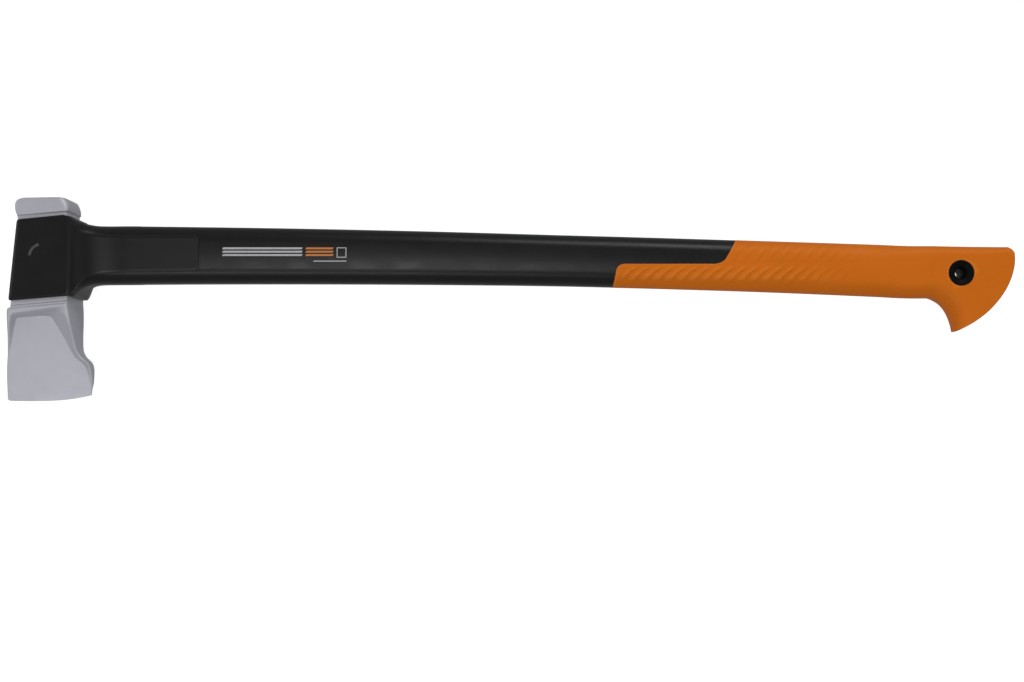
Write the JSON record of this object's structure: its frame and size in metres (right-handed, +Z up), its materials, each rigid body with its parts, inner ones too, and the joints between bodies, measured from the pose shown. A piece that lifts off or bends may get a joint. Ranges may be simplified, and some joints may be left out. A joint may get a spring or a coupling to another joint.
{
  "type": "splitting maul",
  "caption": "Splitting maul with a forged wedge head held in a moulded composite shaft, a soft overmoulded grip and a hooked pommel with a lined lanyard hole.",
  "frame": {"origin": "centre of the bounding box in X and Y, at the level of the ground that the lower cheek of the collar rests on when the tool lies on its side", "axes": "+X along the shaft from the head to the pommel, +Y from the cutting edge to the poll, +Z up out of the left side"},
  "size_m": [0.815, 0.164, 0.062],
  "materials": {
    "head": "satin grey paint over forged steel",
    "shaft": "glass-filled moulding, satin black",
    "plate": "satin black",
    "cap": "semi-gloss black",
    "core": "unfinished moulding",
    "grip": "soft matt overmould, orange",
    "eyelet": "gloss black"
  },
  "bodies": {
    "root": {"maul_head": "head", "shaft": "shaft", "cheek_plate_left": "plate", "cheek_plate_right": "plate", "cheek_cap_left": "cap", "cheek_cap_right": "cap", "pommel_core": "core", "grip_sleeve": "grip", "eyelet_left": "eyelet", "eyelet_right": "eyelet"}
  },
  "joints": []
}
